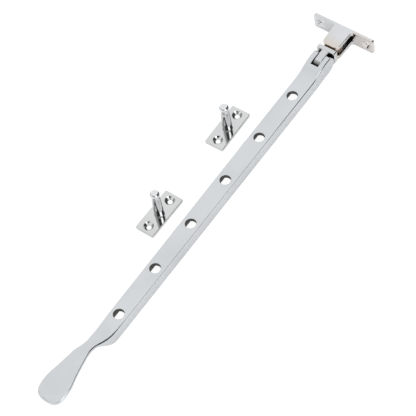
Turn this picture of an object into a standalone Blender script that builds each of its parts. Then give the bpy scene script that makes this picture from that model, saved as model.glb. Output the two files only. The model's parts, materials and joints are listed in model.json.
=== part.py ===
"""Casement window stay: a swivelling, fork-jointed spoon-end bar with two loose stay pegs.

X runs from the backplate along the bar to the spoon, Y runs across the bar and Z is up. The origin is
the centre of the backplate's back face. Everything lies on one surface, as it would on a bench.
"""

import math

import bmesh
import bpy
from mathutils import Matrix, Vector

MM = 0.001

# Whole stay
STAY_LENGTH = 305.0
HEAD_HEIGHT = 11.6
SURFACE_Z = -HEAD_HEIGHT / 2

# Backplate with its two ears
PLATE_THICKNESS = 2.2
BACKPLATE_LENGTH = 43.4
BACKPLATE_CORNER = 1.2
BACKPLATE_SCREW_SPACING = 33.2
EAR_THICKNESS = 2.8
EAR_REACH = 17.5
EAR_ROOT_HALF = 6.2
EAR_TIP_HALF = 5.8
EAR_CORNER = 3.2
EAR_FILLET = 1.6

# Screw holes
SCREW_HOLE = 3.1
COUNTERSINK = 6.4
COUNTERSINK_ANGLE = math.radians(90)

# Swivel and lift joints
SWIVEL_X = 12.0
LIFT_X = 28.6
PIN_DIAMETER = 3.2
PIN_CLEARANCE = 0.1
FACE_GAP = 0.3

# Swivel link
EYE_RADIUS = 5.2
EYE_NECK_HALF = 4.2
FLANGE_BACK_X = 18.8
FLANGE_THICKNESS = 3.0
FLANGE_WIDTH = 13.2
FLANGE_TOP = 5.7
FLANGE_BOTTOM = -4.8
FLANGE_TOP_CORNER = 0.9
FLANGE_BOTTOM_CORNER = 3.6
TONGUE_WIDTH = 4.8
TONGUE_RADIUS = 5.5

# Bar
FORK_TIP_RADIUS = 6.5
SLOT_WIDTH = TONGUE_WIDTH + 2 * FACE_GAP
SLOT_FLOOR_X = LIFT_X + TONGUE_RADIUS + FACE_GAP
BAR_DEPTH = 8.3
BAR_TOP_HALF_AT_FORK = 6.15
BAR_TOP_HALF_AT_NECK = 5.5
SIDE_FLARE = 0.4
ARRIS_RADIUS = 0.6
FOOT_RADIUS = 0.3
FORK_TIP_ANGLES = (14, 28, 45, 76)
HEAD_STATIONS = (LIFT_X, 31.5, 34.5, 37.0, 39.5, 42.0)
HEAD_SLOPE_START = 30.0
HEAD_SLOPE_END = 46.0
WEB_THICKNESS = 2.8
WALL_THICKNESS = 1.2
CHANNEL_START = 48.0
CHANNEL_END = 244.0
PEG_HOLE_COUNT = 6
FIRST_PEG_HOLE_X = 58.7
PEG_HOLE_PITCH = 35.65
PEG_HOLE = 6.8

# Spoon
NECK_START = 248.0
NECK_END = 273.0
NECK_UNDERSIDE_END = 262.0
NECK_STEP = 2.0
SPOON_RISE = 7.9
SPOON_CREST_X = 275.0
SPOON_DROP = 2.6
SPOON_THICKNESS = 2.2
SPOON_WIDEST_X = 295.0
SPOON_HALF = 8.65
SPOON_TIP_POWER = 3.0
SPOON_TIP_SHARES = (0.15, 0.4, 0.6, 0.76, 0.87, 0.94, 0.98, 0.997)
SPOON_OUTLINE = (
    (NECK_START, BAR_TOP_HALF_AT_NECK),
    (256.0, 4.85),
    (264.0, 3.55),
    (274.0, 4.95),
    (284.0, 6.75),
    (290.5, 8.25),
    (SPOON_WIDEST_X, SPOON_HALF),
)

# Stay pegs: (x, y, turn about Z in degrees) of each plate's centre
PEG_PLATE_LENGTH = 30.7
PEG_PLATE_WIDTH = 13.1
PEG_PLATE_CORNER = 0.9
PEG_PLATE_SCREW_SPACING = 21.1
PEG_PLACES = ((95.1, -23.6, 1.1), (166.7, -23.2, -0.8))
PEG_SEAT_GAP = 0.1
SPIGOT_RADIUS = 1.9
# Outline of the peg above its plate, foot to tip: (radius, height)
PEG_OUTLINE = (
    (3.35, 0.0),
    (3.3, 0.4),
    (3.2, 1.2),
    (3.14, 2.6),
    (3.1, 6.0),
    (2.85, 12.0),
    (2.6, 16.8),
    (2.62, 17.8),
    (2.9, 19.2),
    (2.95, 20.5),
)
PEG_TIP_RADIUS = PEG_OUTLINE[-1][0]
PEG_TIP_HEIGHT = 1.4
PEG_TIP_POWER = 2.5

EDGE_ROUND = 0.35
CURVE_STEPS = 32
CUT_MARGIN = 1.0
ROOT_OVERLAP = 1.0
SMOOTH_BELOW = math.radians(32)
ROUNDED_ABOVE = math.radians(50)
FLANGE_ROUNDED_ABOVE = math.radians(60)


def smooth_step(x, start, end):
    t = min(1.0, max(0.0, (x - start) / (end - start)))
    return t * t * (3 - 2 * t)


def curve_through(points, x):
    """Height at x of a smooth curve through the points, which are in order of x."""
    last = len(points) - 1
    i = max(k for k in range(last) if points[k][0] <= x or k == 0)
    (x0, y0), (x1, y1) = points[i], points[i + 1]

    def slope(k):
        before, after = points[max(k - 1, 0)], points[min(k + 1, last)]
        return (after[1] - before[1]) / (after[0] - before[0]) if 0 < k < last else 0.0

    span = x1 - x0
    t = (x - x0) / span
    ends = (2 * t**3 - 3 * t**2 + 1) * y0 + (3 * t**2 - 2 * t**3) * y1
    return ends + span * ((t**3 - 2 * t**2 + t) * slope(i) + (t**3 - t**2) * slope(i + 1))


def arc(centre_x, centre_y, radius, start, end, steps):
    """Points of an arc between two angles in degrees."""
    angles = [math.radians(start + (end - start) * i / steps) for i in range(steps + 1)]
    return [(centre_x + radius * math.cos(a), centre_y + radius * math.sin(a)) for a in angles]


def rounded_rectangle(half_a, low_b, high_b, low_corner, high_corner, steps=5):
    """Outline, anticlockwise from the lower right corner, with its own radius below and above."""
    points = arc(half_a - low_corner, low_b + low_corner, low_corner, -90, 0, steps)
    points += arc(half_a - high_corner, high_b - high_corner, high_corner, 0, 90, steps)
    points += arc(-half_a + high_corner, high_b - high_corner, high_corner, 90, 180, steps)
    points += arc(-half_a + low_corner, low_b + low_corner, low_corner, 180, 270, steps)
    return points


def make_material(name, colour, roughness):
    material = bpy.data.materials.new(name)
    material.use_nodes = True
    shader = material.node_tree.nodes["Principled BSDF"]
    shader.inputs["Base Color"].default_value = (*colour, 1)
    shader.inputs["Roughness"].default_value = roughness
    shader.inputs["Metallic"].default_value = 1.0
    return material


def make_object(name, shape, material=None):
    """Turns a bmesh in millimetres into an object in metres."""
    bmesh.ops.scale(shape, vec=(MM, MM, MM), verts=shape.verts)
    bmesh.ops.recalc_face_normals(shape, faces=shape.faces)
    mesh = bpy.data.meshes.new(name)
    shape.to_mesh(mesh)
    shape.free()
    mesh.shade_smooth()
    mesh.set_sharp_from_angle(angle=SMOOTH_BELOW)
    made = bpy.data.objects.new(name, mesh)
    bpy.context.scene.collection.objects.link(made)
    if material:
        mesh.materials.append(material)
    return made


def loft(rings):
    """Closed body through rings of points that all have the same count."""
    shape = bmesh.new()
    loops = [[shape.verts.new(point) for point in ring] for ring in rings]
    count = len(loops[0])
    for near, far in zip(loops[:-1], loops[1:]):
        for i in range(count):
            j = (i + 1) % count
            shape.faces.new((near[i], near[j], far[j], far[i]))
    shape.faces.new(reversed(loops[0]))
    shape.faces.new(loops[-1])
    return shape


def prism(outline, low, high, axis):
    """An outline extruded along axis: XY for Z, YZ for X and XZ for Y."""
    place = {
        "X": lambda a, b, c: (c, a, b),
        "Y": lambda a, b, c: (a, c, b),
        "Z": lambda a, b, c: (a, b, c),
    }[axis]
    return loft([[place(a, b, c) for a, b in outline] for c in (low, high)])


def turned(profile, steps=CURVE_STEPS):
    """Body turned about Z from (radius, z) points, foot to top; a zero radius closes it in a point."""
    shape = bmesh.new()
    rings = []
    for radius, z in profile:
        if radius == 0:
            rings.append([shape.verts.new((0, 0, z))])
            continue
        angles = [2 * math.pi * i / steps for i in range(steps)]
        rings.append([shape.verts.new((radius * math.cos(a), radius * math.sin(a), z)) for a in angles])
    for near, far in zip(rings[:-1], rings[1:]):
        for i in range(steps):
            j = (i + 1) % steps
            if len(far) == 1:
                shape.faces.new((near[i], near[j], far[0]))
            else:
                shape.faces.new((near[i], near[j], far[j], far[i]))
    shape.faces.new(reversed(rings[0]))
    if len(rings[-1]) > 1:
        shape.faces.new(rings[-1])
    return shape


def cylinder(diameter, low, high, axis, steps=CURVE_STEPS):
    outline = arc(0, 0, diameter / 2, 0, 360 - 360 / steps, steps - 1)
    return prism(outline, low, high, axis)


def moved(shape, x=0.0, y=0.0, z=0.0):
    bmesh.ops.translate(shape, vec=(x, y, z), verts=shape.verts)
    return shape


def countersunk_cutter():
    """A screw hole's cutter about Z: its wide mouth is at z = 0 and it goes down through the plate."""
    cone_depth = (COUNTERSINK - SCREW_HOLE) / 2 / math.tan(COUNTERSINK_ANGLE / 2)
    below = -PLATE_THICKNESS - CUT_MARGIN
    hole, mouth = SCREW_HOLE / 2, COUNTERSINK / 2
    return turned(((hole, below), (hole, -cone_depth), (mouth, 0.0), (mouth, CUT_MARGIN)))


def join_shape(target, name, shape, operation):
    """Adds a Boolean between target and a hidden helper made from the shape."""
    helper = make_object(name, shape)
    helper.hide_render = True
    helper.display_type = "WIRE"
    helper.parent = target.parent
    boolean = target.modifiers.new(name, "BOOLEAN")
    boolean.operation = operation
    boolean.solver = "EXACT"
    boolean.object = helper
    return helper


def round_edges(target, width=EDGE_ROUND):
    bevel = target.modifiers.new("edge_round", "BEVEL")
    bevel.width = width * MM
    bevel.segments = 2
    bevel.limit_method = "ANGLE"
    bevel.angle_limit = ROUNDED_ABOVE


def ear_outline():
    """Plan of one ear: filleted into the plate, slightly tapered, with rounded front corners."""
    corner_x = EAR_REACH - EAR_CORNER
    corner_y = EAR_TIP_HALF - EAR_CORNER
    fillet_x = PLATE_THICKNESS + EAR_FILLET
    fillet_y = EAR_ROOT_HALF + EAR_FILLET
    right = [(PLATE_THICKNESS / 2, fillet_y)]
    right += arc(fillet_x, fillet_y, EAR_FILLET, 180, 270, 4)
    right += arc(corner_x, corner_y, EAR_CORNER, 90, 0, 6)
    left = [(x, -y) for x, y in reversed(right)]
    return list(reversed(right + left))


def make_backplate(material):
    corner = BACKPLATE_CORNER
    outline = rounded_rectangle(BACKPLATE_LENGTH / 2, -HEAD_HEIGHT / 2, HEAD_HEIGHT / 2, corner, corner)
    plate = make_object("backplate", prism(outline, 0, PLATE_THICKNESS, "X"), material)
    round_edges(plate)
    top = HEAD_HEIGHT / 2
    upper = prism(ear_outline(), top - EAR_THICKNESS, top, "Z")
    lower = prism(ear_outline(), -top, -top + EAR_THICKNESS, "Z")
    join_shape(plate, "upper_ear", upper, "UNION")
    join_shape(plate, "lower_ear", lower, "UNION")
    bore = cylinder(PIN_DIAMETER + 2 * PIN_CLEARANCE, -top - CUT_MARGIN, top + CUT_MARGIN, "Z")
    join_shape(plate, "swivel_bore", moved(bore, x=SWIVEL_X), "DIFFERENCE")
    for name, side in (("left_screw_hole", -1), ("right_screw_hole", 1)):
        cutter = countersunk_cutter()
        turn = Matrix.Rotation(math.radians(90), 3, "Y")
        bmesh.ops.rotate(cutter, matrix=turn, verts=cutter.verts)
        moved(cutter, x=PLATE_THICKNESS, y=side * BACKPLATE_SCREW_SPACING / 2)
        join_shape(plate, name, cutter, "DIFFERENCE")
    return plate


def make_swivel_pin(material):
    top = HEAD_HEIGHT / 2
    pin = make_object("swivel_pin", cylinder(PIN_DIAMETER, -top, top, "Z"), material)
    pin.location.x = SWIVEL_X * MM
    return pin


def make_swivel_link(parent, material):
    """Eye between the ears, cross flange in front of them and the tongue that enters the fork."""
    eye_half = HEAD_HEIGHT / 2 - EAR_THICKNESS - FACE_GAP
    flange_x = FLANGE_BACK_X - SWIVEL_X
    eye = arc(0, 0, EYE_RADIUS, 60, 300, 20)
    root_x = flange_x + ROOT_OVERLAP
    eye += [(root_x, -EYE_NECK_HALF), (root_x, EYE_NECK_HALF)]
    link = make_object("swivel_link", prism(eye, -eye_half, eye_half, "Z"), material)
    link.parent = parent
    flange = rounded_rectangle(
        FLANGE_WIDTH / 2, FLANGE_BOTTOM, FLANGE_TOP, FLANGE_BOTTOM_CORNER, FLANGE_TOP_CORNER
    )
    flange = prism(flange, flange_x, flange_x + FLANGE_THICKNESS, "X")
    bmesh.ops.bevel(
        flange,
        geom=[edge for edge in flange.edges if edge.calc_face_angle() > FLANGE_ROUNDED_ABOVE],
        offset=EDGE_ROUND,
        segments=2,
        profile=0.5,
        affect="EDGES",
    )
    join_shape(link, "cross_flange", flange, "UNION")
    lift_x = LIFT_X - SWIVEL_X
    tongue = arc(lift_x, 0, TONGUE_RADIUS, -90, 90, 16)
    tongue += [(root_x, TONGUE_RADIUS), (root_x, -TONGUE_RADIUS)]
    half = TONGUE_WIDTH / 2
    join_shape(link, "tongue", prism(tongue, -half, half, "Y"), "UNION")
    bore = PIN_DIAMETER + 2 * PIN_CLEARANCE
    eye_bore = cylinder(bore, -HEAD_HEIGHT, HEAD_HEIGHT, "Z")
    join_shape(link, "eye_bore", eye_bore, "DIFFERENCE")
    tongue_bore = cylinder(bore, -half - CUT_MARGIN, half + CUT_MARGIN, "Y")
    join_shape(link, "tongue_bore", moved(tongue_bore, x=lift_x), "DIFFERENCE")
    return link


def bar_top(x):
    """Height of the bar's top above the surface it lies on."""
    head = (HEAD_HEIGHT - BAR_DEPTH) * (1 - smooth_step(x, HEAD_SLOPE_START, HEAD_SLOPE_END))
    rise = SPOON_RISE * smooth_step(x, NECK_START, NECK_END)
    past_crest = max(0.0, x - SPOON_CREST_X) / (STAY_LENGTH - SPOON_CREST_X)
    return BAR_DEPTH + head + rise - SPOON_DROP * past_crest**2


def bar_bottom(x):
    slim = smooth_step(x, NECK_START, NECK_UNDERSIDE_END)
    thickness = bar_top(x) + (SPOON_THICKNESS - bar_top(x)) * slim
    return bar_top(x) - thickness


def bar_half_width(x):
    """Half the width of the bar's top face, from the fork to the round end of the spoon."""
    if x <= NECK_START:
        share = (x - HEAD_SLOPE_START) / (NECK_START - HEAD_SLOPE_START)
        share = max(0.0, share)
        return BAR_TOP_HALF_AT_FORK + (BAR_TOP_HALF_AT_NECK - BAR_TOP_HALF_AT_FORK) * share
    if x <= SPOON_WIDEST_X:
        return curve_through(SPOON_OUTLINE, x)
    along = (x - SPOON_WIDEST_X) / (STAY_LENGTH - SPOON_WIDEST_X)
    return SPOON_HALF * (1 - along**SPOON_TIP_POWER) ** (1 / SPOON_TIP_POWER)


def bar_section(x, half, flare, low, high):
    """Ring round the bar at x: rounded upper and lower edges, sides leaning out by the flare."""
    radius = min(ARRIS_RADIUS, 0.45 * (high - low))
    right = arc(half - radius, high - radius, radius, 90, 0, 3)
    foot = min(0.5 * radius, FOOT_RADIUS)
    right += [(half + flare, low + foot), (half + flare - foot, low)]
    left = [(-y, z) for y, z in reversed(right)]
    return [(x, y, z + SURFACE_Z) for y, z in right + left]


def bar_rings():
    """Sections along the bar; the fork's tips are round enough to turn past the flange."""
    middle = HEAD_HEIGHT / 2
    knee = math.degrees(math.asin(middle / FORK_TIP_RADIUS))
    for angle in sorted((*FORK_TIP_ANGLES, knee)):
        back = FORK_TIP_RADIUS * math.cos(math.radians(angle))
        above = min(middle, math.sqrt(FORK_TIP_RADIUS**2 - back**2))
        below = middle * math.sqrt(1 - (back / FORK_TIP_RADIUS) ** 2)
        yield bar_section(LIFT_X - back, BAR_TOP_HALF_AT_FORK, 0.0, middle - below, middle + above)
    stations = [*HEAD_STATIONS, HEAD_SLOPE_END, NECK_START - NECK_STEP, NECK_START]
    stations += [NECK_START + NECK_STEP * i for i in range(1, 24)]
    tip_length = STAY_LENGTH - SPOON_WIDEST_X
    stations += [SPOON_WIDEST_X + tip_length * share for share in SPOON_TIP_SHARES]
    for x in stations:
        flare = SIDE_FLARE * smooth_step(x, LIFT_X, HEAD_SLOPE_END)
        flare *= 1 - smooth_step(x, NECK_START, NECK_UNDERSIDE_END)
        yield bar_section(x, bar_half_width(x), flare, bar_bottom(x), bar_top(x))


def channel_ring(x):
    """Inside of the hollow bar at x, open below."""
    wide = bar_half_width(x) + SIDE_FLARE - WALL_THICKNESS
    narrow = bar_half_width(x) - WALL_THICKNESS
    low = SURFACE_Z - CUT_MARGIN
    high = SURFACE_Z + BAR_DEPTH - WEB_THICKNESS
    return [(x, wide, low), (x, narrow, high), (x, -narrow, high), (x, -wide, low)]


def make_stay_bar(parent, material):
    """Fork, hollow bar with its row of peg holes, and raised spoon."""
    shape = loft([list(reversed(ring)) for ring in bar_rings()])
    bar = make_object("stay_bar", moved(shape, x=-LIFT_X), material)
    bar.parent = parent
    channel = loft([channel_ring(x) for x in (CHANNEL_START, CHANNEL_END)])
    join_shape(bar, "channel", moved(channel, x=-LIFT_X), "DIFFERENCE")
    half = SLOT_WIDTH / 2
    reach = FORK_TIP_RADIUS + CUT_MARGIN
    floor = SLOT_FLOOR_X - LIFT_X
    slot = [(-reach, -reach), (floor, -reach), (floor, reach), (-reach, reach)]
    join_shape(bar, "fork_slot", prism(slot, -half, half, "Y"), "DIFFERENCE")
    wide = BAR_TOP_HALF_AT_FORK + CUT_MARGIN
    bore = cylinder(PIN_DIAMETER + 2 * PIN_CLEARANCE, -wide, wide, "Y")
    join_shape(bar, "lift_bore", bore, "DIFFERENCE")
    top = SURFACE_Z + BAR_DEPTH
    for i in range(PEG_HOLE_COUNT):
        hole = cylinder(PEG_HOLE, SURFACE_Z, top + CUT_MARGIN, "Z")
        x = FIRST_PEG_HOLE_X + i * PEG_HOLE_PITCH - LIFT_X
        join_shape(bar, f"peg_hole_{i + 1}", moved(hole, x=x), "DIFFERENCE")
    return bar


def make_lift_pin(parent, material):
    half = BAR_TOP_HALF_AT_FORK
    pin = make_object("lift_pin", cylinder(PIN_DIAMETER, -half, half, "Y"), material)
    pin.parent = parent
    return pin


def make_peg_plate(name, parent, material):
    """Countersunk fixing plate, with the hole that the peg's spigot is riveted into."""
    half = PEG_PLATE_WIDTH / 2
    corner = PEG_PLATE_CORNER
    outline = rounded_rectangle(PEG_PLATE_LENGTH / 2, -half, half, corner, corner)
    plate = make_object(name, prism(outline, 0, PLATE_THICKNESS, "Z"), material)
    plate.parent = parent
    round_edges(plate)
    for side in (-1, 1):
        cutter = moved(countersunk_cutter(), x=side * PEG_PLATE_SCREW_SPACING / 2, z=PLATE_THICKNESS)
        join_shape(plate, f"{name}_screw_hole_{(side + 3) // 2}", cutter, "DIFFERENCE")
    spigot_hole = 2 * (SPIGOT_RADIUS + PIN_CLEARANCE)
    bore = cylinder(spigot_hole, -CUT_MARGIN, PLATE_THICKNESS + CUT_MARGIN, "Z")
    join_shape(plate, f"{name}_spigot_hole", bore, "DIFFERENCE")
    return plate


def make_peg(name, parent, material):
    """Turned peg: riveted spigot, round foot, tapered shank, and a swollen round tip."""
    seat = PLATE_THICKNESS + PEG_SEAT_GAP
    profile = [(SPIGOT_RADIUS, PEG_SEAT_GAP), (SPIGOT_RADIUS, seat)]
    profile += [(radius, seat + height) for radius, height in PEG_OUTLINE]
    tip_base = seat + PEG_OUTLINE[-1][1]
    for angle in (16, 38, 62):
        turn = math.radians(angle)
        across = math.cos(turn) ** (2 / PEG_TIP_POWER)
        up = math.sin(turn) ** (2 / PEG_TIP_POWER)
        profile.append((PEG_TIP_RADIUS * across, tip_base + PEG_TIP_HEIGHT * up))
    profile.append((0, tip_base + PEG_TIP_HEIGHT))
    peg = make_object(name, turned(profile), material)
    peg.parent = parent
    return peg


def make_pivot(name, x, y=0.0, z=0.0, turn=0.0):
    pivot = bpy.data.objects.new(name, None)
    bpy.context.scene.collection.objects.link(pivot)
    pivot.location = Vector((x, y, z)) * MM
    pivot.rotation_euler.z = math.radians(turn)
    return pivot


def clear_scene():
    for item in list(bpy.data.objects):
        bpy.data.objects.remove(item)


def main():
    clear_scene()
    chrome = make_material("chrome_plate", (0.74, 0.75, 0.76), 0.08)
    bar_chrome = make_material("bar_chrome", (0.72, 0.73, 0.75), 0.12)
    pin_chrome = make_material("pin_chrome", (0.68, 0.68, 0.67), 0.2)
    peg_chrome = make_material("peg_chrome", (0.76, 0.76, 0.76), 0.06)
    make_backplate(chrome)
    make_swivel_pin(pin_chrome)
    swivel = make_pivot("swivel_pivot", SWIVEL_X)
    make_swivel_link(swivel, chrome)
    lift = make_pivot("lift_pivot", LIFT_X)
    make_stay_bar(lift, bar_chrome)
    make_lift_pin(lift, pin_chrome)
    for number, (x, y, turn) in enumerate(PEG_PLACES, start=1):
        place = make_pivot(f"peg_place_{number}", x, y, SURFACE_Z, turn)
        make_peg_plate(f"peg_plate_{number}", place, chrome)
        make_peg(f"peg_{number}", place, peg_chrome)


main()
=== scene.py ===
"""Looks of the casement window stay: finely rounded, chrome-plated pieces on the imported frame.

Lengths are in millimetres unless a name says otherwise. The row frame is the part's own: X runs from
the backplate to the spoon, Y across the bar and Z up, from the centre of the backplate's back face.
"""

import json
import math

import bmesh
import bpy
from mathutils import Matrix, Vector


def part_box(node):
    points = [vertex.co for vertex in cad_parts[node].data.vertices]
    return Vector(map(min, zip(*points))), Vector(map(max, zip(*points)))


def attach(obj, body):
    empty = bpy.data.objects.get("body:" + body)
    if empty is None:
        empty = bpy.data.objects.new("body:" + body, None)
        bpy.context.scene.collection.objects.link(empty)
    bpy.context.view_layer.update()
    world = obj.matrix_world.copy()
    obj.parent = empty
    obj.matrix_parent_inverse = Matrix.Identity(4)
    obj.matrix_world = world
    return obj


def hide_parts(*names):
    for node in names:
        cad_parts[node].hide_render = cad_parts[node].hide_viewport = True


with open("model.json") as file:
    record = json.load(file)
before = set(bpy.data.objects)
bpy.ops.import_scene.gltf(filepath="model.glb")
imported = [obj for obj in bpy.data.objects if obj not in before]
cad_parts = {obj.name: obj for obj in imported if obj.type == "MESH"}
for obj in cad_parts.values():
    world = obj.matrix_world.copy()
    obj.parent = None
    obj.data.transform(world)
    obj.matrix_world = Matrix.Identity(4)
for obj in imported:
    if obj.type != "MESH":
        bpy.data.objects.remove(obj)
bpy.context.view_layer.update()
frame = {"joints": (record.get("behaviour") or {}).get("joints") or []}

MM = 0.001


def box_mm(node):
    low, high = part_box(node)
    return low / MM, high / MM


def joint_place_mm(name):
    joint = next(joint for joint in frame["joints"] if joint["name"] == name)
    return Vector(joint["pos_m"]) / MM


# Places read from the frame
PLATE_HIGH = box_mm("backplate")[1]
LINK_LOW, LINK_HIGH = box_mm("swivel_link")
BAR_LOW, BAR_HIGH = box_mm("stay_bar")
SWIVEL_PIN_HIGH = box_mm("swivel_pin")[1]
LIFT_PIN_HIGH = box_mm("lift_pin")[1]
SWIVEL_X = joint_place_mm("swivel").x
LIFT_X = joint_place_mm("lift").x
SURFACE_Z = BAR_LOW.z
HEAD_HALF = PLATE_HIGH.z

# Backplate and ears
PLATE_THICKNESS = 2.2
PLATE_CORNER = 1.2
PLATE_EDGE = 0.35
PLATE_SCREW_SPACING = 33.2
EAR_THICKNESS = 2.8
EAR_ROOT_HALF = 6.2
EAR_TIP_HALF = 5.8
EAR_CORNER = 3.2
EAR_FILLET = 1.6
EAR_EDGE = 0.5
EAR_OUTLINE_STEPS = (8, 14)
SCREW_HOLE = 3.1
COUNTERSINK = 6.4
COUNTERSINK_LIP = 0.18

# Swivel link
EYE_RADIUS = 5.2
EYE_GAP = 0.3
EYE_EDGE = 0.25
EYE_NECK_INSET = 1.0
ROOT_OVERLAP = 1
FLANGE_BACK_X = 18.8
FLANGE_THICKNESS = 3.0
FLANGE_TOP_CORNER = 0.9
FLANGE_BOTTOM_CORNER = 3.6
FLANGE_EDGE = 0.4
TONGUE_WIDTH = 4.8
TONGUE_RADIUS = 5.5
TONGUE_EDGE = 0.4
SEAM = 0.008
PIN_EDGE = 0.02

# Bar
SLOT_GAP = 0.3
SLOT_WIDTH = TONGUE_WIDTH + 2 * SLOT_GAP
SLOT_FLOOR_X = LIFT_X + TONGUE_RADIUS + SLOT_GAP
BAR_DEPTH = 8.3
BAR_TOP_HALF_AT_FORK = LIFT_PIN_HIGH.y
BAR_TOP_HALF_AT_NECK = 5.5
SIDE_FLARE = 0.4
FORK_TIP_RADIUS = 6.5
FORK_TIP_FIRST_ANGLE = 7
FORK_TIP_STEPS = 12
FORK_TIP_ANGLES_PAST_KNEE = (6, 14)
ARRIS_RADIUS = 0.22
ARRIS_RADIUS_AT_FORK = 0.75
ARRIS_RADIUS_AT_NECK = 1.3
ARRIS_RADIUS_AT_SPOON = 0.5
FOOT_RADIUS = 0.3
# Largest roundings, as shares of the section's height and of its half width
ARRIS_SHARE_OF_HEIGHT = 0.45
FOOT_SHARE_OF_HEIGHT = 0.4
ROUNDING_SHARE_OF_HALF = 0.9
FORK_EDGE = 0.3
HEAD_SLOPE_START = 30.0
HEAD_SLOPE_END = 46.0
FINE_ARRIS_START = 120.0
FINE_ARRIS_END = 236.0
# Where the bar's sections stand: close together where it bends, far apart where it is straight
HEAD_SECTIONS = 20
SECTION_STEP_PAST_HEAD = 2.0
SECTIONS_PAST_HEAD = 7
STRAIGHT_SECTIONS = (70.0, 80.0, 90.0, 100.0, 110.0, FINE_ARRIS_START, 228.0, FINE_ARRIS_END, 240.0, 243.0)
CLOSE_SECTIONS_START = 246.0
SPOON_TIP_SECTIONS = 24
SPOON_TIP_LEAST_HALF = 0.5
WEB_THICKNESS = 2.8
WALL_THICKNESS = 1.2
CHANNEL_START = 48.0
CHANNEL_END = 244.0
PEG_HOLE_COUNT = 6
FIRST_PEG_HOLE_X = 58.7
PEG_HOLE_PITCH = 35.65
PEG_HOLE_RADIUS = 3.4
PEG_HOLE_LIP = 0.14

# Spoon
NECK_START = 248.0
NECK_WAIST = 256.0
NECK_END = 273.0
NECK_UNDERSIDE_END = 262.0
SPOON_RISE = 7.9
SPOON_CREST_X = 275.0
SPOON_DROP = 2.6
SPOON_THICKNESS = 2.2
SPOON_WIDEST_X = 295.0
SPOON_HALF = 8.65
SPOON_TIP_POWER = 3.0
SPOON_OUTLINE = (
    (NECK_START, BAR_TOP_HALF_AT_NECK),
    (NECK_WAIST, 4.85),
    (264.0, 3.55),
    (274.0, 4.95),
    (284.0, 6.75),
    (290.5, 8.25),
    (SPOON_WIDEST_X, SPOON_HALF),
)

# Stay pegs
PEG_PLATE_LENGTH = 30.7
PEG_PLATE_WIDTH = 13.1
PEG_PLATE_CORNER = 0.9
PEG_PLATE_EDGE = 0.35
PEG_PLATE_SCREW_SPACING = 21.1
# Each plate's centre: (x, y, turn about Z in degrees)
PEG_PLACES = ((95.1, -23.6, 1.1), (166.7, -23.2, -0.8))
PEG_SEAT_GAP = 0.1
SPIGOT_RADIUS = 1.9
# Outline of the peg above its plate, foot to tip: (radius, height)
PEG_OUTLINE = (
    (3.35, 0.0),
    (3.3, 0.4),
    (3.2, 1.2),
    (3.14, 2.6),
    (3.1, 6.0),
    (2.85, 12.0),
    (2.6, 16.8),
    (2.62, 17.8),
    (2.9, 19.2),
    (2.95, 20.5),
)
PEG_TIP_HEIGHT = 1.4
PEG_TIP_POWER = 2.5
PEG_SHANK_STEPS = 72
PEG_TIP_STEPS = 14

# Studio, in metres and radians
CAMERA_PLACE = (0.5948, 0.44796, 0.9685)
CAMERA_TURN = 0.783
CAMERA_RISE = 0.994
CAMERA_ROLL = -0.205
LENS_MM = 169.4
SENSOR_MM = 36.0
FLOOR_SIZE = 30.0
FLOOR_GAP = 0.00002
FLOOR_WHITE = 0.95
FLOOR_SHADE = 0.2
MIRRORED_FLOOR_GLOW = 0.3
MIRRORED_FLOOR_SHADE = 0.75
WALL_COLOUR = (0.985, 0.99, 1.0)
WALL_BRIGHTNESS = 0.97
STUDIO_CENTRE = (0.15, 0.0, 0.0)
CARD_DISTANCE = 3.0
CARD_STEPS_ACROSS, CARD_STEPS_UP = 24, 8
# Curved cards that only the metal sees: name, turns from the camera's side, rises, brightness
STUDIO_CARDS = (
    ("dark_right", (-140, -46), (-1, 42), 0.06),
    ("low_softbox", (-42, -20), (1, 18), 2.2),
    ("grey_left", (100, 142), (-1, 26), 0.3),
    ("flag_right", (-128, -59), (42, 72), 0.04),
    ("high_softbox", (-50, -14), (44, 70), 2.4),
    ("flag_left", (-7, 58), (42, 72), 0.04),
    ("grey_left_high", (58, 120), (42, 72), 0.5),
)

# Finishes: linear colours of clean and of duller plating
CASTING_TONES = ((0.74, 0.75, 0.765), (0.68, 0.69, 0.70))
BAR_TONES = ((0.70, 0.715, 0.73), (0.66, 0.675, 0.69))
PLATE_TONES = ((0.72, 0.725, 0.72), (0.66, 0.665, 0.665))
# Peg tones: darker than the other chrome, as painted shade on the shanks
PEG_TONES = ((0.60, 0.61, 0.615), (0.54, 0.55, 0.555))
# Recess tones: thin plating of holes and hollows, darkened further as painted shade
RECESS_TONES = ((0.23, 0.225, 0.21), (0.15, 0.148, 0.14))
CASTING_ROUGHNESS = 0.09
BAR_ROUGHNESS = 0.12
PLATE_ROUGHNESS = 0.1
PEG_ROUGHNESS = 0.06
# Painted light and shade, as tints that fade in along an axis: (axis, none at, full at, colour)
# Painted warm reflection on the front ends of the ears
WARM_END_PAINTED_REFLECTION = ("X", 8.0, 19.0, (0.72, 0.66, 0.58))
# Painted rosy reflection on the backplate's +Y side
ROSY_SIDE_PAINTED_REFLECTION = ("Y", 5.5, 9.0, (0.735, 0.70, 0.68))
# Painted light: the peg heads lighter than their shanks
TIP_PAINTED_LIGHT = ("Z", 12.5, 15.5, (0.80, 0.805, 0.81))
# Painted shade and warm reflection: the eye between the ears in dark brown
EYE_PAINTED_SHADE = ("X", FLANGE_BACK_X + 0.1, FLANGE_BACK_X - 0.2, (0.17, 0.115, 0.08))
# Painted shade on the tongue's end, deep in the fork's slot
TONGUE_END_PAINTED_SHADE = ("X", 31.3, 32.2, (0.1, 0.1, 0.095))
# Sizes of the patterns in the plating, as noise scales
PATCH_SCALE = 45.0
RIPPLE_SCALE = 130.0
PIT_SCALE = 1500.0
HAIRLINE_SCALE = 1.0
HAIRLINE_STRETCH = (60.0, 2600.0, 2600.0)
RECESS_PATCH_SCALE = 160.0
RECESS_GRAIN_SCALE = 900.0

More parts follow.
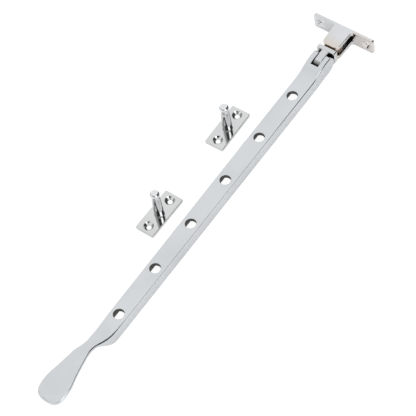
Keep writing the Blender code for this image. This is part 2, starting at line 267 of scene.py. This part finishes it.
# Mesh making
POLISHED, RECESS = 0, 1
CUT_MARGIN = 1.0
SHORTEST_EDGE = 0.0005
SHARP_FROM_DEGREES = 38
SHADING_WEIGHT = 50


def smooth_step(x, start, end):
    t = min(1.0, max(0.0, (x - start) / (end - start)))
    return t * t * (3 - 2 * t)


def curve_through(points, x):
    """Height at x of a smooth curve through the points, which are in order of x."""
    last = len(points) - 1
    i = max(k for k in range(last) if points[k][0] <= x or k == 0)
    (x0, y0), (x1, y1) = points[i], points[i + 1]

    def slope(k):
        before, after = points[max(k - 1, 0)], points[min(k + 1, last)]
        return (after[1] - before[1]) / (after[0] - before[0]) if 0 < k < last else 0.0

    span = x1 - x0
    t = (x - x0) / span
    ends = (2 * t**3 - 3 * t**2 + 1) * y0 + (3 * t**2 - 2 * t**3) * y1
    return ends + span * ((t**3 - 2 * t**2 + t) * slope(i) + (t**3 - t**2) * slope(i + 1))


def arc(centre_x, centre_y, radius, start, end, steps):
    """Points of an arc between two angles in degrees."""
    angles = [math.radians(start + (end - start) * i / steps) for i in range(steps + 1)]
    return [(centre_x + radius * math.cos(a), centre_y + radius * math.sin(a)) for a in angles]


def rounded_rectangle(half_a, low_b, high_b, low_corner, high_corner, steps=10):
    """Outline, anticlockwise from the lower right corner, with its own radius below and above."""
    points = arc(half_a - low_corner, low_b + low_corner, low_corner, -90, 0, steps)
    points += arc(half_a - high_corner, high_b - high_corner, high_corner, 0, 90, steps)
    points += arc(-half_a + high_corner, high_b - high_corner, high_corner, 90, 180, steps)
    points += arc(-half_a + low_corner, low_b + low_corner, low_corner, 180, 270, steps)
    return points


# Mesh making


def put_in_scene(name, data):
    item = bpy.data.objects.new(name, data)
    bpy.context.scene.collection.objects.link(item)
    return item


def loft(rings):
    """Closed body through rings of points that all have the same count."""
    shape = bmesh.new()
    loops = [[shape.verts.new(point) for point in ring] for ring in rings]
    count = len(loops[0])
    for near, far in zip(loops[:-1], loops[1:]):
        for i in range(count):
            j = (i + 1) % count
            shape.faces.new((near[i], near[j], far[j], far[i]))
    shape.faces.new(reversed(loops[0]))
    shape.faces.new(loops[-1])
    return shape


def prism(outline, low, high, axis):
    """An outline extruded along axis: XY for Z, YZ for X and XZ for Y."""
    place = {
        "X": lambda a, b, c: (c, a, b),
        "Y": lambda a, b, c: (a, c, b),
        "Z": lambda a, b, c: (a, b, c),
    }[axis]
    return loft([[place(a, b, c) for a, b in outline] for c in (low, high)])


def turned(profile, steps=72):
    """Body turned about Z from (radius, z) points, foot to top; a zero radius closes it in a point."""
    shape = bmesh.new()
    rings = []
    for radius, z in profile:
        if radius == 0:
            rings.append([shape.verts.new((0, 0, z))])
            continue
        angles = [2 * math.pi * i / steps for i in range(steps)]
        rings.append([shape.verts.new((radius * math.cos(a), radius * math.sin(a), z)) for a in angles])
    for near, far in zip(rings[:-1], rings[1:]):
        for i in range(steps):
            j = (i + 1) % steps
            if len(far) == 1:
                shape.faces.new((near[i], near[j], far[0]))
            elif len(near) == 1:
                shape.faces.new((near[0], far[j], far[i]))
            else:
                shape.faces.new((near[i], near[j], far[j], far[i]))
    if len(rings[0]) > 1:
        shape.faces.new(reversed(rings[0]))
    if len(rings[-1]) > 1:
        shape.faces.new(rings[-1])
    return shape


def cylinder(diameter, low, high, axis, steps=64):
    return prism(arc(0, 0, diameter / 2, 0, 360 - 360 / steps, steps - 1), low, high, axis)


def moved(shape, x=0.0, y=0.0, z=0.0):
    bmesh.ops.translate(shape, vec=(x, y, z), verts=shape.verts)
    return shape


def turned_over(shape, angle, axis):
    bmesh.ops.rotate(shape, matrix=Matrix.Rotation(math.radians(angle), 3, axis), verts=shape.verts)
    return shape


def round_edges(shape, width, segments=3, sharper_than=50, where=lambda middle: True):
    """Rounds the edges that are sharper than an angle, where their middles pass a test."""
    bmesh.ops.recalc_face_normals(shape, faces=shape.faces)
    picked = []
    for edge in shape.edges:
        middle = (edge.verts[0].co + edge.verts[1].co) / 2
        sharp = len(edge.link_faces) == 2 and edge.calc_face_angle() > math.radians(sharper_than)
        if sharp and where(middle):
            picked.append(edge)
    bmesh.ops.bevel(
        shape, geom=picked, offset=width, segments=segments, profile=0.5, affect="EDGES", clamp_overlap=True
    )
    return shape


def mesh_of(shape, name, materials, scale=MM):
    bmesh.ops.scale(shape, vec=(scale, scale, scale), verts=shape.verts)
    bmesh.ops.recalc_face_normals(shape, faces=shape.faces)
    mesh = bpy.data.meshes.new(name)
    shape.to_mesh(mesh)
    shape.free()
    for material in materials:
        mesh.materials.append(material)
    return mesh


def combined(shape, changes):
    """The shape after Booleans, as a new bmesh.

    changes holds (operation, other shape, finish) rows, where a finish is a slot's number or a function
    that gives it for a face.
    """
    slots = [bpy.data.materials.new("slot_a"), bpy.data.materials.new("slot_b")]
    body = put_in_scene("body", mesh_of(shape, "body", slots, scale=1.0))
    helpers = []
    for operation, other, finish in changes:
        for face in other.faces:
            face.material_index = finish(face) if callable(finish) else finish
        helper = put_in_scene("helper", mesh_of(other, "helper", slots, scale=1.0))
        helpers.append(helper)
        boolean = body.modifiers.new(operation, "BOOLEAN")
        boolean.operation = operation
        boolean.solver = "EXACT"
        boolean.object = helper
    graph = bpy.context.evaluated_depsgraph_get()
    result = bmesh.new()
    result.from_object(body, graph)
    for item in [body, *helpers]:
        bpy.data.objects.remove(item)
    for slot in slots:
        bpy.data.materials.remove(slot)
    return result


def make_piece(name, shape, materials, body, node):
    """Turns a bmesh in millimetres into a finished piece that stands for a CAD node."""
    bmesh.ops.dissolve_degenerate(shape, dist=SHORTEST_EDGE, edges=shape.edges)
    mesh = mesh_of(shape, name, materials)
    mesh.shade_smooth()
    mesh.set_sharp_from_angle(angle=math.radians(SHARP_FROM_DEGREES))
    piece = put_in_scene(name, mesh)
    shading = piece.modifiers.new("even_shading", "WEIGHTED_NORMAL")
    shading.mode = "FACE_AREA"
    shading.weight = SHADING_WEIGHT
    shading.keep_sharp = True
    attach(piece, body)
    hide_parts(node)
    return piece


# Pieces


def countersunk_cutter(thickness):
    """A screw hole's cutter about Z: its wide mouth is at z = 0 and it goes down through the plate."""
    hole, mouth, lip = SCREW_HOLE / 2, COUNTERSINK / 2, COUNTERSINK_LIP
    below = -thickness - CUT_MARGIN
    profile = [(hole, below), (hole, hole + lip / 2 - mouth)]
    profile += [(mouth - lip / 2, -lip / 2), (mouth + lip / 3, 0.0)]
    profile += [(mouth + lip / 3, CUT_MARGIN)]
    return turned(profile)


def lipped_cutter(radius, lip, low, top):
    """Round hole's cutter about Z with a small rounded mouth at the top."""
    profile = [(radius, low)]
    profile += [(radius + lip - lip * math.cos(a), top - lip + lip * math.sin(a)) for a in quarter_turn(5)]
    profile.append((radius + lip, top + CUT_MARGIN))
    return turned(profile, steps=96)


def quarter_turn(steps):
    return [math.pi / 2 * i / steps for i in range(steps + 1)]


def ear_outline():
    """Plan of one ear: filleted into the plate, slightly tapered, with rounded front corners."""
    corner_x = PLATE_HIGH.x - EAR_CORNER
    corner_y = EAR_TIP_HALF - EAR_CORNER
    fillet_x = PLATE_THICKNESS + EAR_FILLET
    fillet_y = EAR_ROOT_HALF + EAR_FILLET
    fillet_steps, corner_steps = EAR_OUTLINE_STEPS
    right = [(PLATE_THICKNESS / 2, fillet_y)]
    right += arc(fillet_x, fillet_y, EAR_FILLET, 180, 270, fillet_steps)
    right += arc(corner_x, corner_y, EAR_CORNER, 90, 0, corner_steps)
    left = [(x, -y) for x, y in reversed(right)]
    return list(reversed(right + left))


def make_backplate(polished, recess):
    half, top = PLATE_HIGH.y, HEAD_HALF
    outline = rounded_rectangle(half, -top, top, PLATE_CORNER, PLATE_CORNER)
    plate = round_edges(prism(outline, 0, PLATE_THICKNESS, "X"), PLATE_EDGE, segments=4)
    changes = []
    for low, high in ((top - EAR_THICKNESS, top), (-top, -top + EAR_THICKNESS)):
        ear = round_edges(
            prism(ear_outline(), low, high, "Z"), EAR_EDGE, 4, 60, lambda middle: middle.x > PLATE_THICKNESS
        )
        changes.append(("UNION", ear, POLISHED))
    pin = 2 * SWIVEL_PIN_HIGH.y + 2 * SEAM
    bore = cylinder(pin, -top - CUT_MARGIN, top + CUT_MARGIN, "Z")
    changes.append(("DIFFERENCE", moved(bore, x=SWIVEL_X), RECESS))
    for side in (-1, 1):
        cutter = turned_over(countersunk_cutter(PLATE_THICKNESS), 90, "Y")
        moved(cutter, x=PLATE_THICKNESS, y=side * PLATE_SCREW_SPACING / 2)
        changes.append(("DIFFERENCE", cutter, POLISHED))
    shape = combined(plate, changes)
    return make_piece(
        "cast_backplate", shape, (polished, recess), "backplate", "backplate"
    )


def pin_shape(radius, half):
    profile = [(0, -half), (radius - PIN_EDGE, -half), (radius, -half + PIN_EDGE)]
    profile += [(radius, half - PIN_EDGE), (radius - PIN_EDGE, half), (0, half)]
    return turned(profile, steps=64)


def make_pins(casting, bar):
    swivel = moved(pin_shape(SWIVEL_PIN_HIGH.y, SWIVEL_PIN_HIGH.z), x=SWIVEL_X)
    make_piece("swivel_rivet", swivel, (casting,), "backplate", "swivel_pin")
    lift = turned_over(pin_shape(LIFT_PIN_HIGH.z, LIFT_PIN_HIGH.y), 90, "X")
    moved(lift, x=LIFT_X)
    make_piece("lift_rivet", lift, (bar,), "bar", "lift_pin")


def make_swivel_link(polished, recess):
    """Eye between the ears, cross flange in front of them and the tongue that enters the fork."""
    eye_half = HEAD_HALF - EAR_THICKNESS - EYE_GAP
    neck_half = EYE_RADIUS - EYE_NECK_INSET
    root_x = FLANGE_BACK_X + ROOT_OVERLAP
    eye = [(SWIVEL_X + x, y) for x, y in arc(0, 0, EYE_RADIUS, 60, 300, 48)]
    eye += [(root_x, -neck_half), (root_x, neck_half)]
    shape = round_edges(prism(eye, -eye_half, eye_half, "Z"), EYE_EDGE, 3, 60)
    outline = rounded_rectangle(
        LINK_HIGH.y, LINK_LOW.z, LINK_HIGH.z, FLANGE_BOTTOM_CORNER, FLANGE_TOP_CORNER
    )
    flange_front = FLANGE_BACK_X + FLANGE_THICKNESS
    flange = round_edges(prism(outline, FLANGE_BACK_X, flange_front, "X"), FLANGE_EDGE, 4, 60)
    tongue = arc(LIFT_X, 0, TONGUE_RADIUS, -90, 90, 32)
    tongue += [(root_x, TONGUE_RADIUS), (root_x, -TONGUE_RADIUS)]
    half = TONGUE_WIDTH / 2
    tongue = round_edges(prism(tongue, -half, half, "Y"), TONGUE_EDGE, 4, 60)
    bore = SWIVEL_PIN_HIGH.y * 2 + 2 * SEAM
    eye_bore = cylinder(bore, -HEAD_HALF, HEAD_HALF, "Z")
    tongue_bore = cylinder(bore, -half - CUT_MARGIN, half + CUT_MARGIN, "Y")
    shape = combined(
        shape,
        [
            ("UNION", flange, POLISHED),
            ("UNION", tongue, POLISHED),
            ("DIFFERENCE", moved(eye_bore, x=SWIVEL_X), RECESS),
            ("DIFFERENCE", moved(tongue_bore, x=LIFT_X), RECESS),
        ],
    )
    return make_piece("swivel_knuckle", shape, (polished, recess), "link", "swivel_link")


def bar_top(x):
    """Height of the bar's top above the surface it lies on."""
    head = (2 * HEAD_HALF - BAR_DEPTH) * (1 - smooth_step(x, HEAD_SLOPE_START, HEAD_SLOPE_END))
    rise = SPOON_RISE * smooth_step(x, NECK_START, NECK_END)
    past_crest = max(0.0, x - SPOON_CREST_X) / (BAR_HIGH.x - SPOON_CREST_X)
    return BAR_DEPTH + head + rise - SPOON_DROP * past_crest**2


def bar_bottom(x):
    slim = smooth_step(x, NECK_START, NECK_UNDERSIDE_END)
    thickness = bar_top(x) + (SPOON_THICKNESS - bar_top(x)) * slim
    return bar_top(x) - thickness


def bar_half_width(x):
    """Half the width of the bar's top face, from the fork to the round end of the spoon."""
    if x <= NECK_START:
        share = max(0.0, (x - HEAD_SLOPE_START) / (NECK_START - HEAD_SLOPE_START))
        return BAR_TOP_HALF_AT_FORK + (BAR_TOP_HALF_AT_NECK - BAR_TOP_HALF_AT_FORK) * share
    if x <= SPOON_WIDEST_X:
        return curve_through(SPOON_OUTLINE, x)
    along = min(1.0, (x - SPOON_WIDEST_X) / (BAR_HIGH.x - SPOON_WIDEST_X))
    return SPOON_HALF * (1 - along**SPOON_TIP_POWER) ** (1 / SPOON_TIP_POWER)


def arris_radius(x):
    """Rounding of the upper edges: fine along the bar, fuller at the fork, the neck and the spoon."""
    near_fork = 1 - smooth_step(x, HEAD_SLOPE_START, FINE_ARRIS_START)
    near_neck = smooth_step(x, FINE_ARRIS_END, NECK_WAIST)
    near_spoon = smooth_step(x, NECK_UNDERSIDE_END, NECK_END)
    fork = (ARRIS_RADIUS_AT_FORK - ARRIS_RADIUS) * near_fork
    neck = (ARRIS_RADIUS_AT_NECK - ARRIS_RADIUS) * near_neck
    spoon = (ARRIS_RADIUS_AT_SPOON - ARRIS_RADIUS_AT_NECK) * near_spoon
    return ARRIS_RADIUS + fork + neck + spoon


def bar_section(x, half, flare, low, high):
    """Ring round the bar at x: rounded upper and lower edges, sides leaning out by the flare."""
    widest = ROUNDING_SHARE_OF_HALF * half
    radius = min(arris_radius(x), ARRIS_SHARE_OF_HEIGHT * (high - low), widest)
    foot = min(FOOT_SHARE_OF_HEIGHT * (high - low), FOOT_RADIUS, widest)
    right = arc(half - radius, high - radius, radius, 90, 0, 8)
    right += arc(half + flare - foot, low + foot, foot, 0, -90, 4)
    left = [(-y, z) for y, z in reversed(right)]
    return [(x, y, z + SURFACE_Z) for y, z in right + left]


def fork_tip_rings():
    """Sections of the fork's round tips, which turn past the flange."""
    knee = math.degrees(math.asin(HEAD_HALF / FORK_TIP_RADIUS))
    first, steps = FORK_TIP_FIRST_ANGLE, FORK_TIP_STEPS
    angles = [first + (knee - first) * i / steps for i in range(steps + 1)]
    angles += [knee + more for more in FORK_TIP_ANGLES_PAST_KNEE]
    for angle in angles:
        back = FORK_TIP_RADIUS * math.cos(math.radians(angle))
        above = min(HEAD_HALF, math.sqrt(FORK_TIP_RADIUS**2 - back**2))
        below = HEAD_HALF * math.sqrt(1 - (back / FORK_TIP_RADIUS) ** 2)
        yield bar_section(LIFT_X - back, BAR_TOP_HALF_AT_FORK, 0.0, HEAD_HALF - below, HEAD_HALF + above)


def bar_rings():
    """Sections of the whole bar, from the fork's tips to the end of the spoon."""
    yield from fork_tip_rings()
    head_length = HEAD_SLOPE_END - LIFT_X
    stations = [LIFT_X + head_length * i / HEAD_SECTIONS for i in range(HEAD_SECTIONS + 1)]
    stations += [HEAD_SLOPE_END + SECTION_STEP_PAST_HEAD * i for i in range(1, SECTIONS_PAST_HEAD + 1)]
    stations += STRAIGHT_SECTIONS
    close_sections = int(SPOON_WIDEST_X - CLOSE_SECTIONS_START) + 1
    stations += [CLOSE_SECTIONS_START + i for i in range(close_sections)]
    tip_length = BAR_HIGH.x - SPOON_WIDEST_X
    stations += [SPOON_WIDEST_X + tip_length * math.sin(a) for a in quarter_turn(SPOON_TIP_SECTIONS)[1:]]
    for x in stations:
        flare = SIDE_FLARE * smooth_step(x, LIFT_X, HEAD_SLOPE_END)
        flare *= 1 - smooth_step(x, NECK_START, NECK_UNDERSIDE_END)
        half = max(bar_half_width(x), SPOON_TIP_LEAST_HALF)
        yield bar_section(x, half, flare, bar_bottom(x), bar_top(x))


def channel_ring(x):
    """Inside of the hollow bar at x, open below."""
    wide = bar_half_width(x) + SIDE_FLARE - WALL_THICKNESS
    narrow = bar_half_width(x) - WALL_THICKNESS
    low = SURFACE_Z - CUT_MARGIN
    high = SURFACE_Z + BAR_DEPTH - WEB_THICKNESS
    return [(x, wide, low), (x, narrow, high), (x, -narrow, high), (x, -wide, low)]


def polished_sides(face):
    """Finish of a cut along the bar: its side walls are polished, its floor and roof are not and take the
    recess finish, darkened as painted shade.
    """
    return POLISHED if abs(face.normal.y) > 0.5 else RECESS


def make_stay_bar(polished, recess):
    """Fork, hollow bar with its row of peg holes, and raised spoon."""
    shape = loft(bar_rings())
    reach = FORK_TIP_RADIUS + CUT_MARGIN
    back, floor = LIFT_X - reach, SLOT_FLOOR_X
    slot = [(back, -reach), (floor, -reach), (floor, reach), (back, reach)]
    slot = prism(slot, -SLOT_WIDTH / 2, SLOT_WIDTH / 2, "Y")
    shape = combined(shape, [("DIFFERENCE", slot, polished_sides)])
    round_edges(shape, FORK_EDGE, 3, 60, lambda middle: middle.x < SLOT_FLOOR_X + 0.1)
    wide = BAR_TOP_HALF_AT_FORK + CUT_MARGIN
    bore = cylinder(2 * (LIFT_PIN_HIGH.z + SEAM), -wide, wide, "Y")
    channel = loft([channel_ring(x) for x in (CHANNEL_START, CHANNEL_END)])
    changes = [("DIFFERENCE", moved(bore, x=LIFT_X), RECESS), ("DIFFERENCE", channel, polished_sides)]
    top = SURFACE_Z + BAR_DEPTH
    for i in range(PEG_HOLE_COUNT):
        hole = lipped_cutter(PEG_HOLE_RADIUS, PEG_HOLE_LIP, SURFACE_Z, top)
        changes.append(("DIFFERENCE", moved(hole, x=FIRST_PEG_HOLE_X + i * PEG_HOLE_PITCH), RECESS))
    shape = combined(shape, changes)
    return make_piece("spoon_end_bar", shape, (polished, recess), "bar", "stay_bar")


def place_peg_shape(shape, place):
    x, y, turn = place
    turned_over(shape, turn, "Z")
    return moved(shape, x, y, SURFACE_Z)


def make_peg_plate(number, place, polished, recess):
    half, corner = PEG_PLATE_WIDTH / 2, PEG_PLATE_CORNER
    outline = rounded_rectangle(PEG_PLATE_LENGTH / 2, -half, half, corner, corner)
    plate = round_edges(prism(outline, 0, PLATE_THICKNESS, "Z"), PEG_PLATE_EDGE, segments=4)
    changes = []
    for side in (-1, 1):
        cutter = moved(
            countersunk_cutter(PLATE_THICKNESS), x=side * PEG_PLATE_SCREW_SPACING / 2, z=PLATE_THICKNESS
        )
        changes.append(("DIFFERENCE", cutter, POLISHED))
    bore = cylinder(2 * SPIGOT_RADIUS + 2 * SEAM, -CUT_MARGIN, PLATE_THICKNESS + CUT_MARGIN, "Z")
    changes.append(("DIFFERENCE", bore, RECESS))
    shape = place_peg_shape(combined(plate, changes), place)
    name, body, node = f"fixing_plate_{number}", f"peg_{number}", f"peg_plate_{number}"
    return make_piece(name, shape, (polished, recess), body, node)


def peg_profile():
    """Outline of the turned peg with its shank sampled smoothly between the named points."""
    seat = PLATE_THICKNESS + PEG_SEAT_GAP
    by_height = [(height, radius) for radius, height in PEG_OUTLINE]
    high = by_height[-1][0]
    shank = [high * i / PEG_SHANK_STEPS for i in range(PEG_SHANK_STEPS + 1)]
    profile = [(0, PEG_SEAT_GAP), (SPIGOT_RADIUS, PEG_SEAT_GAP), (SPIGOT_RADIUS, seat)]
    profile += [(curve_through(by_height, height), seat + height) for height in shank]
    tip_radius, tip_base = PEG_OUTLINE[-1][0], seat + high
    for a in quarter_turn(PEG_TIP_STEPS)[1:-1]:
        across, up = math.cos(a) ** (2 / PEG_TIP_POWER), math.sin(a) ** (2 / PEG_TIP_POWER)
        profile.append((tip_radius * across, tip_base + PEG_TIP_HEIGHT * up))
    profile.append((0, tip_base + PEG_TIP_HEIGHT))
    return profile


def make_peg(number, place, polished):
    shape = place_peg_shape(turned(peg_profile(), steps=96), place)
    peg = f"peg_{number}"
    return make_piece(f"turned_{peg}", shape, (polished,), peg, peg)


# Finishes


def new_material(name):
    """A material, its node tree and its shader."""
    material = bpy.data.materials.new(name)
    material.use_nodes = True
    tree = material.node_tree
    return material, tree, tree.nodes["Principled BSDF"]


def add_node(tree, kind, settings=None, **inputs):
    """A shader node; inputs are numbers, tuples or other nodes' outputs, by socket name."""
    node = tree.nodes.new("ShaderNode" + kind)
    for key, value in (settings or {}).items():
        setattr(node, key, value)
    for key, value in inputs.items():
        socket = node.inputs[key.replace("_", " ")]
        if isinstance(value, bpy.types.NodeSocket):
            tree.links.new(value, socket)
        else:
            socket.default_value = value
    return node


def ramped(tree, value, low, high, to_low, to_high):
    """The value moved from one range to another, and kept in it."""
    settings = {"clamp": True, "interpolation_type": "SMOOTHSTEP"}
    node = add_node(tree, "MapRange", settings, Value=value)
    for key, number in (("From Min", low), ("From Max", high), ("To Min", to_low), ("To Max", to_high)):
        node.inputs[key].default_value = number
    return node.outputs["Result"]


def blended(tree, share, first, second):
    node = add_node(tree, "Mix", {"data_type": "RGBA"})
    tree.links.new(share, node.inputs["Factor"])
    for key, value in (("A", first), ("B", second)):
        socket = next(s for s in node.inputs if s.name == key and s.type == "RGBA")
        if isinstance(value, bpy.types.NodeSocket):
            tree.links.new(value, socket)
        else:
            socket.default_value = (*value, 1.0)
    return next(s for s in node.outputs if s.type == "RGBA")


def noise(tree, coords, scale, detail, stretch=None):
    if stretch:
        coords = add_node(tree, "Mapping", Vector=coords, Scale=stretch).outputs["Vector"]
    made = add_node(tree, "TexNoise", Vector=coords, Scale=scale, Detail=detail)
    return made.outputs["Fac"]


def polished_metal(name, clean, dull, roughness, tints=()):
    """Plated metal: two tones in soft patches, hairlines left by polishing, faint ripples and small pits.

    tints holds painted light and shade as (axis, none at, full at, colour) rows, with the two places along
    the axis in millimetres.
    """
    material, tree, shader = new_material(name)
    shader.inputs["Metallic"].default_value = 1.0
    coords = add_node(tree, "TexCoord").outputs["Object"]
    patches = noise(tree, coords, PATCH_SCALE, 2.0)
    hairlines = noise(tree, coords, HAIRLINE_SCALE, 3.0, stretch=HAIRLINE_STRETCH)
    pits = noise(tree, coords, PIT_SCALE, 2.0)
    colour = blended(tree, ramped(tree, patches, 0.35, 0.7, 0.0, 1.0), clean, dull)
    # Painted light and shade, fading in along an axis
    for axis, none_at, full_at, tint in tints:
        along = add_node(tree, "SeparateXYZ", Vector=coords).outputs[axis]
        low, high = sorted((none_at, full_at))
        shares = (0.0, 1.0) if full_at > none_at else (1.0, 0.0)
        share = ramped(tree, along, low * MM, high * MM, *shares)
        colour = blended(tree, share, colour, tint)
    tree.links.new(colour, shader.inputs["Base Color"])
    rough = add_node(tree, "Math", {"operation": "MULTIPLY_ADD"})
    tree.links.new(hairlines, rough.inputs[0])
    rough.inputs[1].default_value = 0.6 * roughness
    tree.links.new(ramped(tree, patches, 0.3, 0.75, 0.5 * roughness, roughness), rough.inputs[2])
    tree.links.new(rough.outputs[0], shader.inputs["Roughness"])
    ripple = noise(tree, coords, RIPPLE_SCALE, 1.0)
    first = add_node(tree, "Bump", Strength=0.12, Distance=0.0004, Height=ripple)
    second = add_node(tree, "Bump", Strength=0.5, Distance=0.0000025, Height=hairlines)
    tree.links.new(first.outputs["Normal"], second.inputs["Normal"])
    third = add_node(tree, "Bump", Strength=0.25, Distance=0.00001)
    tree.links.new(ramped(tree, pits, 0.25, 0.36, 0.0, 1.0), third.inputs["Height"])
    tree.links.new(second.outputs["Normal"], third.inputs["Normal"])
    tree.links.new(third.outputs["Normal"], shader.inputs["Normal"])
    return material


def recess_metal(name, light, dark):
    """Thin, unpolished plating in holes and hollows, darkened further as painted shade."""
    material, tree, shader = new_material(name)
    shader.inputs["Metallic"].default_value = 1.0
    coords = add_node(tree, "TexCoord").outputs["Object"]
    grain = noise(tree, coords, RECESS_GRAIN_SCALE, 4.0)
    patches = noise(tree, coords, RECESS_PATCH_SCALE, 2.0)
    tree.links.new(blended(tree, patches, light, dark), shader.inputs["Base Color"])
    tree.links.new(ramped(tree, grain, 0.3, 0.7, 0.35, 0.55), shader.inputs["Roughness"])
    bump = add_node(tree, "Bump", Strength=0.5, Distance=0.00008, Height=grain)
    tree.links.new(bump.outputs["Normal"], shader.inputs["Normal"])
    return material


# Studio


def glow_material(name, colour, strength):
    """Paper or card that gives off white light of its own."""
    material, _, shader = new_material(name)
    shader.inputs["Base Color"].default_value = (*colour, 1)
    shader.inputs["Roughness"].default_value = 0.9
    shader.inputs["Emission Color"].default_value = (1, 1, 1, 1)
    shader.inputs["Emission Strength"].default_value = strength
    return material


def stage_sheet(name, size, material, height):
    """Square sheet of the stage at a height, centred on the object's frame."""
    shape = bmesh.new()
    bmesh.ops.create_grid(shape, x_segments=1, y_segments=1, size=0.5)
    bmesh.ops.scale(shape, vec=(size, size, 1), verts=shape.verts)
    mesh = bpy.data.meshes.new(name)
    shape.to_mesh(mesh)
    shape.free()
    mesh.materials.append(material)
    sheet = put_in_scene(name, mesh)
    sheet.location.z = height
    return sheet


def direction(turn, rise):
    """Unit vector at a turn from +Y towards +X and a rise above the floor, in degrees."""
    turn, rise = math.radians(turn), math.radians(rise)
    return Vector((math.cos(rise) * math.sin(turn), math.cos(rise) * math.cos(turn), math.sin(rise)))


def make_camera():
    """Camera at the viewing angle, rolled about the line it looks along."""
    back = direction(math.degrees(CAMERA_TURN), math.degrees(CAMERA_RISE))
    right = (-back).cross(Vector((0, 0, 1))).normalized()
    up = right.cross(-back)
    rolled_right = math.cos(CAMERA_ROLL) * right + math.sin(CAMERA_ROLL) * up
    rolled_up = math.cos(CAMERA_ROLL) * up - math.sin(CAMERA_ROLL) * right
    data = bpy.data.cameras.new("camera")
    data.lens = LENS_MM
    data.sensor_width = SENSOR_MM
    data.clip_start = 0.01
    camera = put_in_scene("camera", data)
    turn = Matrix((rolled_right, rolled_up, back)).transposed().to_4x4()
    camera.matrix_world = Matrix.Translation(CAMERA_PLACE) @ turn
    bpy.context.scene.camera = camera


def sky_patch(name, turns, rises, material):
    """Curved card round the object, between two turns from the camera's side and two rises, in degrees."""
    camera_side = math.degrees(CAMERA_TURN)
    steps_across, steps_up = CARD_STEPS_ACROSS, CARD_STEPS_UP
    shape = bmesh.new()
    rows = []
    for j in range(steps_up + 1):
        rise = rises[0] + (rises[1] - rises[0]) * j / steps_up
        row = []
        for i in range(steps_across + 1):
            turn = camera_side + turns[0] + (turns[1] - turns[0]) * i / steps_across
            row.append(shape.verts.new(Vector(STUDIO_CENTRE) + CARD_DISTANCE * direction(turn, rise)))
        rows.append(row)
    for low, high in zip(rows[:-1], rows[1:]):
        for i in range(steps_across):
            shape.faces.new((low[i], low[i + 1], high[i + 1], high[i]))
    mesh = bpy.data.meshes.new(name)
    shape.to_mesh(mesh)
    shape.free()
    mesh.materials.append(material)
    patch = put_in_scene(name, mesh)
    patch.visible_camera = False
    patch.visible_shadow = False
    patch.visible_diffuse = False


def make_studio():
    """Pale walls, a floor that the camera sees, another that the metal sees, and the cards."""
    world = bpy.data.worlds.new("studio")
    bpy.context.scene.world = world
    world.use_nodes = True
    background = world.node_tree.nodes["Background"]
    background.inputs["Color"].default_value = (*WALL_COLOUR, 1)
    background.inputs["Strength"].default_value = WALL_BRIGHTNESS
    height = SURFACE_Z * MM - FLOOR_GAP
    shade = (FLOOR_SHADE,) * 3
    floor = stage_sheet("floor", FLOOR_SIZE, glow_material("floor_paper", shade, FLOOR_WHITE), height)
    floor.visible_glossy = False
    floor.visible_diffuse = False
    floor.visible_shadow = False
    shade = (MIRRORED_FLOOR_SHADE,) * 3
    mirrored = glow_material("mirrored_floor_paper", shade, MIRRORED_FLOOR_GLOW)
    mirrored_floor = stage_sheet("mirrored_floor", FLOOR_SIZE, mirrored, height - FLOOR_GAP)
    mirrored_floor.visible_camera = False
    mirrored_floor.visible_diffuse = False
    for name, turns, rises, brightness in STUDIO_CARDS:
        card = glow_material(f"{name}_card", (0.0, 0.0, 0.0), brightness)
        sky_patch(name, turns, rises, card)
    bpy.context.scene.view_settings.view_transform = "Standard"


def main():
    make_camera()
    make_studio()
    # The casting carries painted reflections: warm on the ear ends and rosy on one side of the backplate
    chrome = polished_metal(
        "chrome_plated_casting", *CASTING_TONES, CASTING_ROUGHNESS, (WARM_END_PAINTED_REFLECTION, ROSY_SIDE_PAINTED_REFLECTION)
    )
    bar_chrome = polished_metal("chrome_plated_bar", *BAR_TONES, BAR_ROUGHNESS)
    plate_chrome = polished_metal("chrome_fixing_plate", *PLATE_TONES, PLATE_ROUGHNESS)
    # The pegs' heads are lightened as painted light over the shaded shank tone
    peg_chrome = polished_metal("turned_peg_chrome", *PEG_TONES, PEG_ROUGHNESS, (TIP_PAINTED_LIGHT,))
    # The knuckle carries painted shade: the eye between the ears and the tongue's end in the slot
    knuckle_chrome = polished_metal(
        "chrome_knuckle", *PLATE_TONES, PLATE_ROUGHNESS, (EYE_PAINTED_SHADE, TONGUE_END_PAINTED_SHADE)
    )
    # Holes and hollows: thin plating, darkened further as painted shade
    recess = recess_metal("thin_plating_painted_shade", *RECESS_TONES)
    make_backplate(chrome, recess)
    make_pins(chrome, bar_chrome)
    make_swivel_link(knuckle_chrome, recess)
    make_stay_bar(bar_chrome, recess)
    for number, place in enumerate(PEG_PLACES, start=1):
        make_peg_plate(number, place, plate_chrome, recess)
        make_peg(number, place, peg_chrome)


main()
